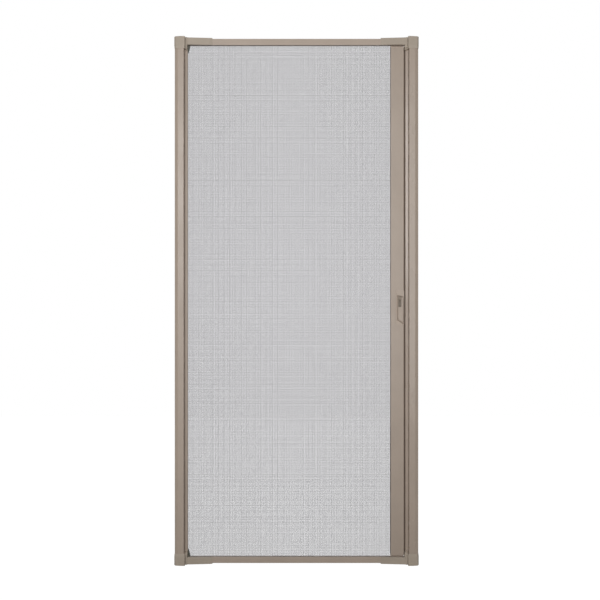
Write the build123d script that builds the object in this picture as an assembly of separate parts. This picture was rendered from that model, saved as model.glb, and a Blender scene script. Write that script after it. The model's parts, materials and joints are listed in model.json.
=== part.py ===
from build123d import *
import os

# A retractable screen door: a roller housing and a latch jamb, joined by two tracks and four
# moulded corner caps, with a slide bar that draws the insect screen out of the housing.
# X runs across the door with the housing at -X, Z is up, and the front faces -Y.
# The flat back of every profile lies in the plane Y = 0, against the wall.
# Heights are measured from the bottom of the caps; export() moves them to the origin.

# Overall sizes, to the outer faces of the corner caps
door_width = 950.0
door_height = 2055.0

# The origin is in the middle of the bottom track's back face
origin_height = 16.0

# Side profiles, the same section on both sides: a box and a set-back strip beside it
box_width = 36.0
box_depth = 48.0
box_facet_width = 12.5
box_facet_depth = 4.5
box_outer_corner = 2.5
box_inner_corner = 2.0
strip_width = 11.3
strip_depth = 22.5
strip_rise = 3.5
strip_corner = 1.2
seam_width = 1.4
seam_depth = 2.2
profile_wall = 1.4
rail_wall = 1.6
rail_lip = 11.0
rail_lip_wall = 1.4
rail_set_in = 3.0
snap_gap = 0.2
snap_bead = 0.8
snap_bead_height = 1.2
slot_width = 4.0

# Wall screws through the back rails
screw_radius = 2.25
screw_rows_outer = 1815.0
screw_rows_inner = 615.0

# Tracks
track_height = 25.0
track_depth = 28.5
track_wall = 1.5
track_to_cap = 3.5
track_corner = 1.5
track_back_rise = 6.0
rib_wall = 1.2
rib_to_guide = 1.0

# Pile seals
pile_width = 5.0
pile_gap = 0.4
track_pile_rise = 2.6
tongue_gap = 0.5

# Corner caps
cap_wall = 1.8
cap_inner_wall = 4.0
cap_inner_corner = 2.0
cap_outer_corner = 9.0
cap_top = 4.5
cap_gap = 0.2
cap_leg_height = 47.0
cap_strip_height = 49.0
cap_strip_slant = 6.5
cap_arm_length = 146.0
cap_arm_wall = 2.2
cap_arm_spread = 6.0
cap_flank_spread = 2.5
cap_flank_edge = 1.2
cap_leg_end_depth = 29.0
cap_arm_corner = 2.0
cap_arm_turn = 9.0
cap_arm_turn_depth = 1.8
cap_arm_root_set_in = 0.3
cap_arm_end_set_in = 0.8
cap_crown_radius = 400.0
cap_edge = 0.8
cap_rim = 1.2
cap_rim_height = 11.0
spigot_wall = 1.6
spigot_length = 12.0
spigot_gap = 0.3
keeper_width = 5.0
keeper_length = 21.5
keeper_depth = 14.0
keeper_taper = 0.8
keeper_end = 4.0

# Insect screen and its roller
mesh_plane = 14.0
mesh_thickness = 0.6
mesh_in_track = 9.5
mesh_in_bar = 1.2
roller_radius = 10.0
roller_wall = 1.0
roller_wraps = 0.8
roller_gap = 0.1
roller_to_cap = 28.0
pin_radius = 4.0
pin_length = 30.0
pin_gap = 0.3
plug_flange = 6.0
plug_spigot = 18.0
plug_end_gap = 3.0
plug_sides = 8

# Slide bar
bar_width = 51.9
bar_depth = 27.0
bar_back = 3.0
bar_wall = 1.4
bar_corner = 3.0
bar_to_strip = 6.2
bar_to_arm = 9.4
bar_groove = 1.2
bar_groove_depth = 0.6
bar_groove_places = (19.0, 38.5)
screw_port_radius = 1.9
screw_port_wall = 1.3
screw_port_mouth = 2.0
mesh_slot = 3.4
spline_radius = 2.6
spline_gap = 0.4
spline_slit = 0.1

# Magnetic strips of the closing edge
magnet_depth = 9.0
magnet_thickness = 2.4
magnet_proud = 0.8
magnet_gap = 0.4
magnet_to_cap = 4.0
magnet_to_track = 1.0

# End shoes of the slide bar
shoe_flange = 1.6
shoe_plug = 24.0
shoe_gap = 0.2
tongue_thickness = 5.0
tongue_reach = 16.0
tongue_corner = 6.0

# Handles
handle_height = 138.0
handle_width = 30.5
handle_plate = 2.6
handle_corner = 6.0
handle_middle = 1001.5
grip_height = 100.0
grip_left = -12.0
grip_right = 13.0
grip_rise = 9.0
grip_slant_top = 6.0
grip_slant_low = 16.0
grip_side_slope = 2.5
grip_end_slope = 7.0
grip_edge = 1.5

# Thumb latch in the front handle
latch_slot_width = 11.4
latch_slot_height = 43.0
latch_slot_depth = 9.0
latch_slot_up = 24.0
latch_slot_side = -2.55
latch_gap = 0.5
latch_travel = 14.0
latch_rise = 1.5
latch_scoop_radius = 34.0
latch_scoop_depth = 2.5
latch_edge = 0.8

# Black guides where the screen leaves the housing
guide_width = 7.5
guide_tip_width = 1.6
guide_below = 24.5
guide_taper = 23.0
guide_above = 16.0
guide_depth = 12.0
guide_slot = 1.8

# Places that follow from the sizes above
half_width = door_width / 2
middle_height = door_height / 2
box_out = half_width - cap_wall
box_in = box_out - box_width
strip_in = box_in - strip_width
rail_in = strip_in + rail_set_in
profile_low = cap_top
profile_high = door_height - cap_top
track_top = door_height - track_to_cap
track_mouth = track_top - track_height
back_mouth = track_mouth + track_back_rise
front_pile_low = track_mouth + track_pile_rise
back_pile_low = back_mouth + rib_wall
slot_low = mesh_plane - slot_width / 2
slot_high = mesh_plane + slot_width / 2
tall_in = box_in - cap_inner_wall
arm_bottom = track_mouth
arm_depth = track_depth + cap_gap + cap_arm_wall
arm_root_depth = arm_depth + cap_arm_spread
cap_leg_low = door_height - cap_strip_height
arm_end = half_width - cap_arm_length
arm_end_top = door_height - cap_arm_end_set_in
arm_root_top = door_height - cap_arm_root_set_in
bar_right = strip_in - bar_to_strip
bar_left = bar_right - bar_width
bar_high = arm_bottom - bar_to_arm
bar_low = door_height - bar_high
bar_front = bar_back + bar_depth
plug_left = bar_left + 3 * bar_wall + 2 * (spline_radius + spline_gap)
plug_right = bar_right - magnet_thickness - 2 * bar_wall
port_x = (plug_left + plug_right) / 2
port_back = bar_back + bar_wall + screw_port_radius
port_front = bar_front - bar_groove_depth - bar_wall - screw_port_radius
wrap_radius = roller_radius + roller_gap + roller_wraps
roller_place = (-(box_in + box_out) / 2, -(mesh_plane + wrap_radius - mesh_thickness / 2))
roller_high = door_height - roller_to_cap
roller_low = roller_to_cap
mesh_high = track_mouth + mesh_in_track
mesh_low = door_height - mesh_high
mesh_edge = bar_left + bar_wall + mesh_in_bar


def block(x0, x1, y0, y1, z0, z1):
    """A plain box between two corners, with Y counted forwards from the wall."""
    centre = ((x0 + x1) / 2, -(y0 + y1) / 2, (z0 + z1) / 2)
    return Pos(*centre) * Box(abs(x1 - x0), abs(y1 - y0), abs(z1 - z0))


def plan(*points):
    """A polygon in plan, its corners given as X and Y counted forwards from the wall."""
    return make_face(Polyline(*((x, -y) for x, y in points), close=True))


def rect(x0, x1, y0, y1):
    """A rectangle in plan between two corners, with Y counted forwards from the wall."""
    return Pos((x0 + x1) / 2, -(y0 + y1) / 2) * Rectangle(abs(x1 - x0), abs(y1 - y0))


def upright(section, low, high):
    """A section in plan, pulled up from one height to another."""
    return Pos(0, 0, low) * extrude(section, high - low)


def across(section, x0, x1):
    """A section in the YZ plane, pulled along X."""
    return extrude(Plane.YZ.offset(x0) * section, x1 - x0)


def depth_rect(y0, y1, z0, z1):
    """A rectangle for across(), with Y counted forwards from the wall."""
    return Pos(-(y0 + y1) / 2, (z0 + z1) / 2) * Rectangle(abs(y1 - y0), abs(z1 - z0))


def to_left(shape):
    """The same piece on the other side of the door."""
    return mirror(shape, about=Plane.YZ)


def to_bottom(shape):
    """The same piece at the other end of the door."""
    return mirror(shape, about=Plane.XY.offset(middle_height))


def round_corners(face, corners):
    """The face with some of its corners rounded, each given as X, Y counted forwards, and radius."""
    for x, y, radius in corners:
        face = fillet(face.vertices().sort_by_distance((x, -y))[0], radius)
    return face


def strip_front(x):
    """Depth of the strip's face at some X, rising towards the box."""
    return strip_depth + strip_rise * (x - strip_in) / strip_width


def side_outline():
    """The outer faces of a right-hand side profile in plan: the box with its outer facet, a seam
    and the sloping strip."""
    face = plan((strip_in, 0), (strip_in, strip_depth), (box_in, strip_front(box_in)), (box_in, 0))
    face -= rect(box_in - seam_width, box_in, strip_front(box_in) - seam_depth, box_depth)
    face += plan(
        (box_in, 0),
        (box_in, box_depth),
        (box_out - box_facet_width, box_depth),
        (box_out, box_depth - box_facet_depth),
        (box_out, 0),
    )
    return round_corners(face, (
        (box_out, box_depth - box_facet_depth, box_outer_corner),
        (box_in, box_depth, box_inner_corner),
        (strip_in, strip_depth, strip_corner),
    ))


def side_cover():
    """Snap-on front of a side profile: the box's front and sides, a hook, the strip and its lip."""
    outline = side_outline()
    section = outline - offset(outline, -profile_wall, kind=Kind.INTERSECTION)
    section -= rect(strip_in - 1, box_out + 1, -1, rail_wall)
    section -= rect(strip_in + profile_wall, box_out - profile_wall, 0, rail_wall + profile_wall)
    section -= rect(strip_in - 1, strip_in + profile_wall, -1, slot_high)
    hook_x = box_out - profile_wall
    hook_y = rail_lip - snap_bead_height - snap_gap
    section += rect(hook_x - snap_bead, hook_x, hook_y - snap_bead_height, hook_y)
    return upright(section, profile_low, profile_high)


def side_rail():
    """Back rail of a side profile, screwed to the wall, with the lips that the cover snaps on."""
    lip_out = box_out - profile_wall - snap_bead - snap_gap
    section = rect(rail_in, box_out, 0, rail_wall)
    section += rect(rail_in, rail_in + profile_wall, 0, slot_low)
    section += rect(rail_in, rail_in + pile_width, slot_low - rail_lip_wall, slot_low)
    section += rect(lip_out - rail_lip_wall, lip_out, 0, rail_lip)
    section += rect(lip_out, lip_out + snap_bead, rail_lip - snap_bead_height, rail_lip)
    rail = upright(section, profile_low, profile_high)
    holes = [
        Pos((box_in + box_out) / 2, 0, middle_height + side * rows / 2)
        for rows in (screw_rows_outer, screw_rows_inner)
        for side in (-1, 1)
    ]
    drill = Rot(90, 0, 0) * Cylinder(screw_radius, 4 * rail_wall)
    for place in holes:
        rail -= place * drill
    return rail


def housing_pile_front():
    """Brush on the inner face of the strip, in front of the screen."""
    inner = strip_in + profile_wall
    outer = inner + pile_width
    tip = mesh_plane + mesh_thickness / 2 + pile_gap
    wall = profile_wall * (1 + (strip_rise / strip_width) ** 2) ** 0.5
    inner_root = strip_front(inner) - wall
    outer_root = strip_front(outer) - wall
    section = plan((inner, tip), (inner, inner_root), (outer, outer_root), (outer, tip))
    return upright(section, profile_low + cap_gap, profile_high - cap_gap)


def housing_pile_back():
    """Brush on the rail's lip, behind the screen."""
    tip = mesh_plane - mesh_thickness / 2 - pile_gap
    section = rect(rail_in, rail_in + pile_width, slot_low, tip)
    return upright(section, profile_low + cap_gap, profile_high - cap_gap)


def track():
    """Top track: a channel that opens downwards, its back wall shorter than its front, with ribs
    that hold a brush on each wall."""
    section = depth_rect(0, track_depth, track_mouth, track_top)
    section = fillet(section.vertices().sort_by(Axis.X)[:2], track_corner)
    section -= depth_rect(track_wall, track_depth - track_wall, track_mouth - 1, track_top - track_wall)
    section -= depth_rect(-1, 2 * track_wall, track_mouth - 1, back_mouth)
    clear = guide_depth / 2 + rib_to_guide
    for rib in (-rib_wall, pile_width):
        back = back_pile_low + rib
        front = front_pile_low + rib
        section += depth_rect(track_wall, mesh_plane - clear, back, back + rib_wall)
        section += depth_rect(mesh_plane + clear, track_depth - track_wall, front, front + rib_wall)
    return across(section, -strip_in, strip_in)


def track_pile_front():
    """Brush on the front wall of the top track."""
    tip = mesh_plane + tongue_thickness / 2 + tongue_gap
    section = depth_rect(tip, track_depth - track_wall, front_pile_low, front_pile_low + pile_width)
    return across(section, -strip_in + guide_width + 1, strip_in)


def track_pile_back():
    """Brush on the back wall of the top track."""
    tip = mesh_plane - tongue_thickness / 2 - tongue_gap
    section = depth_rect(track_wall, tip, back_pile_low, back_pile_low + pile_width)
    return across(section, -strip_in + guide_width + 1, strip_in)


def cap_tall():
    """Tall end of the top right cap, over the box: crowned, rounded, and thinned at its rim."""
    face = rect(tall_in, half_width, 0, box_depth + cap_wall)
    face = round_corners(face, (
        (half_width, box_depth + cap_wall, cap_outer_corner),
        (tall_in, box_depth + cap_wall, cap_inner_corner),
    ))
    crown_low = door_height - cap_crown_radius
    crown = Pos(box_in, 0, crown_low) * Rot(90, 0, 0) * Cylinder(cap_crown_radius, 4 * box_depth)
    tall = upright(face, door_height - cap_leg_height, door_height) & crown
    foot = tall.faces().sort_by(Axis.Z)[0]
    tall = chamfer(foot.edges().sort_by(Axis.Y)[:-1], cap_rim, cap_rim_height, reference=foot)
    top = tall.faces().sort_by(Axis.Z)[-1].edges().sort_by(Axis.Y)[:-1]
    return chamfer(top, cap_edge)


def cap_arm():
    """Arm of the top right cap, over the end of the track, its top and its front sloping out to
    the tall end."""
    outline = Polyline(
        (arm_end, arm_bottom),
        (box_in, arm_bottom),
        (box_in, arm_root_top),
        (strip_in, arm_root_top),
        (arm_end, arm_end_top),
        close=True,
    )
    arm = extrude(Plane.XZ * make_face(outline), arm_root_depth)
    slope = plan((arm_end, 0), (arm_end, arm_depth), (box_in, arm_root_depth), (box_in, 0))
    arm &= upright(slope, 0, door_height)
    front = arm.faces().filter_by(lambda face: face.normal_at().Y < -0.9).sort_by(Axis.X)[0]
    arm = fillet(front.edges().sort_by(Axis.X)[1:-1], cap_arm_corner)
    turned = plan(
        (arm_end, 0),
        (arm_end, arm_depth - cap_arm_turn_depth),
        (arm_end + cap_arm_turn, arm_depth + cap_arm_spread * cap_arm_turn / (box_in - arm_end)),
        (box_in, arm_root_depth + 1),
        (box_in, 0),
    )
    return arm & upright(turned, 0, door_height)


def drawn_in():
    """The space that the leg and the keeper of a top right cap stay in, shallower towards their
    lower ends."""
    outline = Polyline(
        (0, cap_leg_low),
        (-cap_leg_end_depth, cap_leg_low),
        (-box_depth, arm_bottom),
        (-box_depth, door_height),
        (0, door_height),
        close=True,
    )
    return across(make_face(outline), strip_in - keeper_width, box_in)


def cap_flank():
    """Slanted flank of the top right cap, from the arm's front to a groove beside the tall end,
    and down over the strip, where its leg is cut on a slant."""
    outline = Polyline(
        (strip_in, cap_leg_low),
        (box_in, cap_leg_low + cap_strip_slant),
        (box_in, arm_root_top),
        (strip_in, arm_root_top),
        close=True,
    )
    seam = tall_in - seam_width
    front_depth = arm_root_depth + cap_flank_spread
    slope = plan(
        (strip_in, 0),
        (strip_in, arm_root_depth),
        (seam, front_depth),
        (seam, front_depth - seam_depth),
        (box_in, front_depth - seam_depth),
        (box_in, 0),
    )
    flank = extrude(Plane.XZ * make_face(outline), box_depth) & upright(slope, 0, door_height)
    front = flank.faces().sort_by(Axis.Y)[0].edges().filter_by(Axis.Z, reverse=True)
    return chamfer(front, cap_flank_edge) & drawn_in()


def cap_spigot():
    """Open-backed ring that plugs into the box and keeps the cap square on it."""
    clear = profile_wall + spigot_gap
    face = offset(side_outline(), -clear, kind=Kind.INTERSECTION)
    face &= rect(box_in + clear, box_out, rail_lip + spigot_gap, box_depth)
    ring = face - offset(face, -spigot_wall, kind=Kind.INTERSECTION)
    return upright(ring, profile_high - spigot_length, profile_high)


def cap_pin():
    """Pin that the roller's plug turns on."""
    pin = Cylinder(pin_radius, pin_length)
    return Pos(-roller_place[0], roller_place[1], profile_high - pin_length / 2) * pin


def cap_keeper():
    """Tapering wedge on the leg, beside the top of the closed slide bar, cut on a slant at its
    lower end."""
    outline = Polyline(
        (strip_in, arm_bottom),
        (strip_in - keeper_width, arm_bottom),
        (strip_in - keeper_width + keeper_taper, arm_bottom - keeper_length + keeper_end),
        (strip_in, arm_bottom - keeper_length),
        close=True,
    )
    wedge = extrude(Plane.XZ.offset(arm_root_depth - keeper_depth) * make_face(outline), keeper_depth)
    return wedge & drawn_in()


def corner_cap(side):
    """Moulded cap of a top corner, drawn on the right: a tall end over the box, a leg over the
    strip and an arm over the end of the track, hollowed to fit all three."""
    cap = cap_tall() + cap_arm() + cap_flank()
    cap -= upright(offset(side_outline(), cap_gap, kind=Kind.INTERSECTION), 0, profile_high)
    cap -= block(strip_in - 1, half_width - cap_wall, -1, cap_gap + 1, 0, profile_high)
    cap -= block(arm_end - 1, strip_in, -1, track_depth + cap_gap, 0, track_top)
    cap += cap_spigot()
    return cap + (cap_pin() if side == "left" else cap_keeper())


def screen():
    """The insect screen: the last turn on the roller and the sheet drawn out to the slide bar."""
    roll = Circle(wrap_radius) - Circle(roller_radius + roller_gap)
    half = mesh_thickness / 2
    section = Pos(*roller_place) * roll
    section += rect(roller_place[0], mesh_edge, mesh_plane - half, mesh_plane + half)
    return upright(section, mesh_low, mesh_high)


def roller_tube():
    """Thin tube that the screen is wound on."""
    section = Pos(*roller_place) * (Circle(roller_radius) - Circle(roller_radius - roller_wall))
    return upright(section, roller_low, roller_high)


def roller_plug():
    """Eight-sided plug in the tube's top end, turning on the cap's pin."""
    spigot = RegularPolygon(roller_radius - roller_wall - roller_gap, plug_sides)
    flange = RegularPolygon(roller_radius, plug_sides)
    place = Pos(*roller_place)
    plug = upright(place * spigot, roller_high - plug_spigot, roller_high)
    plug += upright(place * flange, roller_high, roller_high + plug_flange)
    bore = profile_high - pin_length - plug_end_gap
    return plug - upright(place * Circle(pin_radius + pin_gap), bore, door_height)


def guide():
    """Black tapered lead-in at the top of the housing's slot, one cheek each side of the screen."""
    root = -strip_in + cap_gap
    tip = track_mouth - guide_below
    outline = Polyline(
        (root, tip),
        (root + guide_tip_width, tip),
        (root + guide_width, tip + guide_taper),
        (root + guide_width, track_mouth + guide_above),
        (root, track_mouth + guide_above),
        close=True,
    )
    cheeks = extrude(Plane.XZ.offset(mesh_plane - guide_depth / 2) * make_face(outline), guide_depth)
    half_slot = guide_slot / 2
    return cheeks - block(-half_width, 0, mesh_plane - half_slot, mesh_plane + half_slot, 0, mesh_high + 1)


def screw_ports():
    """Circles of the slide bar's two screw ports, one by its back wall and one by its front."""
    back = Pos(port_x, -port_back) * Circle(screw_port_radius)
    return back + Pos(port_x, -port_front) * Circle(screw_port_radius)


def port_blocks(clearance):
    """The square bosses round the screw ports, grown by a clearance."""
    half = screw_port_radius + screw_port_wall + clearance
    back = rect(port_x - half, port_x + half, bar_back + bar_wall, port_back + half)
    return back + rect(port_x - half, port_x + half, port_front - half, bar_front - bar_wall)


def slide_bar():
    """Hollow bar along the screen's free edge, grooved for the screen's spline and for the magnet,
    with two open ports for the screws of its end shoes."""
    outer = rect(bar_left, bar_right, bar_back, bar_front)
    outer = fillet(outer.vertices(), bar_corner)
    section = outer - offset(outer, -bar_wall, kind=Kind.INTERSECTION)
    pocket = spline_radius + spline_gap
    pocket_x = bar_left + bar_wall + pocket
    section += Pos(pocket_x, -mesh_plane) * Circle(pocket + bar_wall)
    section -= Pos(pocket_x, -mesh_plane) * Circle(pocket)
    section -= rect(bar_left - 1, pocket_x, mesh_plane - mesh_slot / 2, mesh_plane + mesh_slot / 2)
    seat = magnet_thickness - magnet_proud
    half_magnet = magnet_depth / 2
    section += rect(bar_right - seat - bar_wall, bar_right, mesh_plane - half_magnet - bar_wall,
                    mesh_plane + half_magnet + bar_wall)
    section -= rect(bar_right - seat, bar_right + 1, mesh_plane - half_magnet, mesh_plane + half_magnet)
    section += port_blocks(0)
    section -= screw_ports()
    mouth = screw_port_mouth / 2
    section -= rect(port_x - mouth, port_x + mouth, port_back, port_front)
    for place in bar_groove_places:
        left = bar_left + place - bar_groove / 2
        section -= rect(left, left + bar_groove, bar_front - bar_groove_depth, bar_front + 1)
    return upright(section, bar_low, bar_high)


def mesh_spline():
    """Round cord that locks the screen's edge in the slide bar."""
    centre = bar_left + bar_wall + spline_radius + spline_gap
    section = Pos(centre, -mesh_plane) * Circle(spline_radius)
    half = mesh_thickness / 2 + spline_slit
    section -= rect(bar_left, centre, mesh_plane - half, mesh_plane + half)
    return upright(section, bar_low + 1, bar_high - 1)


def bar_magnet():
    """Magnetic strip set into the closing edge of the slide bar."""
    seat = magnet_thickness - magnet_proud
    half = magnet_depth / 2
    section = rect(bar_right - seat, bar_right + magnet_proud, mesh_plane - half, mesh_plane + half)
    return upright(section, bar_low + magnet_to_cap, bar_high - magnet_to_cap)


def jamb_magnet():
    """Black magnetic strip clipped into the latch jamb's slot, facing the slide bar."""
    face = bar_right + magnet_proud + magnet_gap
    head = strip_in + profile_wall + snap_gap
    section = rect(face, strip_in, mesh_plane - magnet_depth / 2, mesh_plane + magnet_depth / 2)
    section += rect(face, head, slot_low + snap_gap, slot_high - snap_gap)
    section += rect(head, head + profile_wall, slot_low + snap_gap, slot_high + 2)
    return upright(section, door_height - track_mouth + magnet_to_track, track_mouth - magnet_to_track)


def shoe():
    """Plug in the top end of the slide bar, with the tongue that runs in the track. Two screws
    hold it to the bar's ports."""
    outer = rect(bar_left, bar_right, bar_back, bar_front)
    outer = fillet(outer.vertices(), bar_corner)
    outer -= screw_ports()
    part = upright(outer, bar_high, bar_high + shoe_flange)
    plug = rect(plug_left, plug_right, bar_back + bar_wall + shoe_gap,
                bar_front - bar_wall - bar_groove_depth - shoe_gap)
    plug -= port_blocks(shoe_gap)
    part += upright(plug, bar_high - shoe_plug, bar_high)
    tongue_high = track_mouth + tongue_reach
    tongue = block(bar_left, bar_right,
                   mesh_plane - tongue_thickness / 2, mesh_plane + tongue_thickness / 2,
                   bar_high, tongue_high)
    part += fillet(tongue.edges().filter_by(Axis.Y).group_by(Axis.Z)[-1], tongue_corner)
    half_slot = mesh_thickness / 2 + shoe_gap
    return part - block(bar_left - 1, mesh_edge + shoe_gap, mesh_plane - half_slot,
                        mesh_plane + half_slot, bar_high - 1, tongue_high + 1)


def grip_outline(plane, inset_side, inset_end, up):
    """Outline of the grip, drawn in from its sides and ends, with ends that slant down to the
    closing edge."""
    points = []
    for x, order in ((grip_left + inset_side, 1), (grip_right - inset_side, -1)):
        share = (x - grip_left) / (grip_right - grip_left)
        top = grip_height / 2 - grip_slant_top * share - inset_end
        low = -grip_height / 2 - grip_slant_low * share + inset_end
        points += [(x, up * z) for z in (low, top)[::order]]
    return plane * make_face(Polyline(*points, close=True))


def handle_body(face, outwards):
    """A handle on the face of the slide bar: a rounded plate with a low slanted grip on it."""
    centre_x = bar_right - handle_width / 2
    plane = Plane((centre_x, -face, handle_middle), x_dir=(1, 0, 0), z_dir=(0, outwards, 0))
    plate = extrude(plane * RectangleRounded(handle_width, handle_height, handle_corner), handle_plate)
    foot = grip_outline(plane.offset(handle_plate), 0, 0, -outwards)
    crest = grip_outline(plane.offset(handle_plate + grip_rise), grip_side_slope, grip_end_slope, -outwards)
    grip = loft([foot, crest])
    grip = chamfer(grip.faces().sort_by(Axis.Y)[0 if outwards < 0 else -1].edges(), grip_edge)
    return plate + grip


def latch_slot(clearance, low, high, depth):
    """The space of the thumb latch's slot, less a clearance on its sides."""
    centre_x = bar_right - handle_width / 2 + latch_slot_side
    half = latch_slot_width / 2 - clearance
    crest = bar_front + handle_plate + grip_rise
    return block(centre_x - half, centre_x + half, crest - depth, crest + depth, low, high)


def handle_front():
    """Front handle, slotted for the thumb latch."""
    low = handle_middle + latch_slot_up - latch_slot_height / 2
    slot = latch_slot(0, low, low + latch_slot_height, latch_slot_depth)
    return handle_body(bar_front, -1) - slot


def thumb_latch():
    """Dark thumb slide with a scooped face, at the bottom of its slot with its travel free above."""
    low = handle_middle + latch_slot_up - latch_slot_height / 2 + latch_gap
    high = low + latch_slot_height - 2 * latch_gap - latch_travel
    space = latch_slot(latch_gap, low, high, latch_slot_depth - latch_gap)
    front = bar_front + handle_plate + grip_rise + latch_rise
    slide = space & block(0, half_width, 0, front, low, high)
    slide = fillet(slide.faces().sort_by(Axis.Y)[0].edges(), latch_edge)
    scoop = Pos(bar_right, -(front + latch_scoop_radius - latch_scoop_depth), (low + high) / 2)
    return slide - scoop * Rot(0, 90, 0) * Cylinder(latch_scoop_radius, 4 * handle_width)


def handle_back():
    """Handle on the inner side of the door."""
    return handle_body(bar_back, 1)


def export(name, shape):
    """Write one piece, with the origin in the middle of the bottom track's back face."""
    export_step(Pos(0, 0, -origin_height) * shape, f"parts/{name}.step")


def main():
    os.makedirs("parts", exist_ok=True)
    cover = side_cover()
    rail = side_rail()
    export("jamb_cover", cover)
    export("jamb_rail", rail)
    export("housing_cover", to_left(cover))
    export("housing_rail", to_left(rail))
    export("housing_pile_front", to_left(housing_pile_front()))
    export("housing_pile_back", to_left(housing_pile_back()))
    for end, place in (("top", lambda shape: shape), ("bottom", to_bottom)):
        export(f"{end}_track", place(track()))
        export(f"{end}_pile_front", place(track_pile_front()))
        export(f"{end}_pile_back", place(track_pile_back()))
        export(f"cap_{end}_right", place(corner_cap("right")))
        export(f"cap_{end}_left", place(to_left(corner_cap("left"))))
        export(f"roller_plug_{end}", place(roller_plug()))
        export(f"guide_{end}", place(guide()))
        export(f"shoe_{end}", place(shoe()))
    export("roller_tube", roller_tube())
    export("screen_mesh", screen())
    export("slide_bar", slide_bar())
    export("mesh_spline", mesh_spline())
    export("bar_magnet", bar_magnet())
    export("jamb_magnet", jamb_magnet())
    export("handle_front", handle_front())
    export("handle_back", handle_back())
    export("thumb_latch", thumb_latch())


main()
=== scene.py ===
import json
import logging
import math
import random
from dataclasses import dataclass
from enum import Enum

import bmesh
import bpy
from mathutils import Matrix, Vector

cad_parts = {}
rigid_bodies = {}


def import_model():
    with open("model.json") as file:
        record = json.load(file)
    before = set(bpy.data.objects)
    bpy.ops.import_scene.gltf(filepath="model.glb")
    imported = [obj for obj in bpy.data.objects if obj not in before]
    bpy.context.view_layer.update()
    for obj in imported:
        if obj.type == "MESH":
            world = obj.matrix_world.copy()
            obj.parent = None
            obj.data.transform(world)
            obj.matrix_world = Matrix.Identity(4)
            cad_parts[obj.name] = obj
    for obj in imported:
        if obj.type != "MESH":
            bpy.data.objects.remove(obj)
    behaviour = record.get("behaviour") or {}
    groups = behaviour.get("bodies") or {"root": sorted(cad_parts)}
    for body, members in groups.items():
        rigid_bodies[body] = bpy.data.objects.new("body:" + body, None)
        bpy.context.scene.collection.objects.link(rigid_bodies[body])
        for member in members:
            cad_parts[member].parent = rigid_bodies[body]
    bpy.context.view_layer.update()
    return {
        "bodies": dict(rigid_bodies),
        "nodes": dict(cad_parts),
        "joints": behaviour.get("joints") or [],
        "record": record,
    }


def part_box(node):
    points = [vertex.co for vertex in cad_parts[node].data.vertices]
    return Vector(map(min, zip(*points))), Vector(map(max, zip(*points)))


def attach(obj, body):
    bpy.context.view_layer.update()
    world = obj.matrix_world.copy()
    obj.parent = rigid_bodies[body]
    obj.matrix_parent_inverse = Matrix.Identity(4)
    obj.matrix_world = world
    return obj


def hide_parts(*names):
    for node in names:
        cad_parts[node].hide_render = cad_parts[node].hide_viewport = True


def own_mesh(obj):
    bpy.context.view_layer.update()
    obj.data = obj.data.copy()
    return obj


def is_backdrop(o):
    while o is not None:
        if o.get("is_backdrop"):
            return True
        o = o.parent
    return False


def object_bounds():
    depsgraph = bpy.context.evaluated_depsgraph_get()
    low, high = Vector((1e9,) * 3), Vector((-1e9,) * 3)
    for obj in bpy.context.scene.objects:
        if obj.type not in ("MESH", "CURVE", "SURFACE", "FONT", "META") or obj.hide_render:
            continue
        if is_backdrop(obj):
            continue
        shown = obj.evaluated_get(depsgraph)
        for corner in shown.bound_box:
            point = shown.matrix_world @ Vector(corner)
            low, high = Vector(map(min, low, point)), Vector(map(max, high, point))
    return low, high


# Looks of a retractable screen door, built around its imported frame: a powder-coated roller housing
# and latch jamb, two tracks, four moulded caps, and a slide bar that draws out a woven screen.

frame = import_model()

LOG = logging.getLogger("screen_door")
MM = 0.001

Triple = tuple[float, float, float]
Colour = Triple
Band = tuple[float, float]
Socket = object


class Body(str, Enum):
    """The bodies that pieces ride on."""

    FRAME = "frame"
    SLIDE_BAR = "slide_bar"
    THUMB_LATCH = "thumb_latch"


class Axis(Enum):
    """The direction that a profile was pushed through its die."""

    ACROSS = "across"
    UP = "up"


def srgb(red: int, green: int, blue: int) -> Colour:
    """Turn a screen colour into the renderer's linear colour.

    Args:
        red: Red from 0 to 255.
        green: Green from 0 to 255.
        blue: Blue from 0 to 255.

    Returns:
        The linear colour.
    """

    def linear(value: int) -> float:
        """One channel, from the screen's scale to the linear one."""
        share = value / 255
        return share / 12.92 if share <= 0.04045 else ((share + 0.055) / 1.055) ** 2.4

    return linear(red), linear(green), linear(blue)


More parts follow.
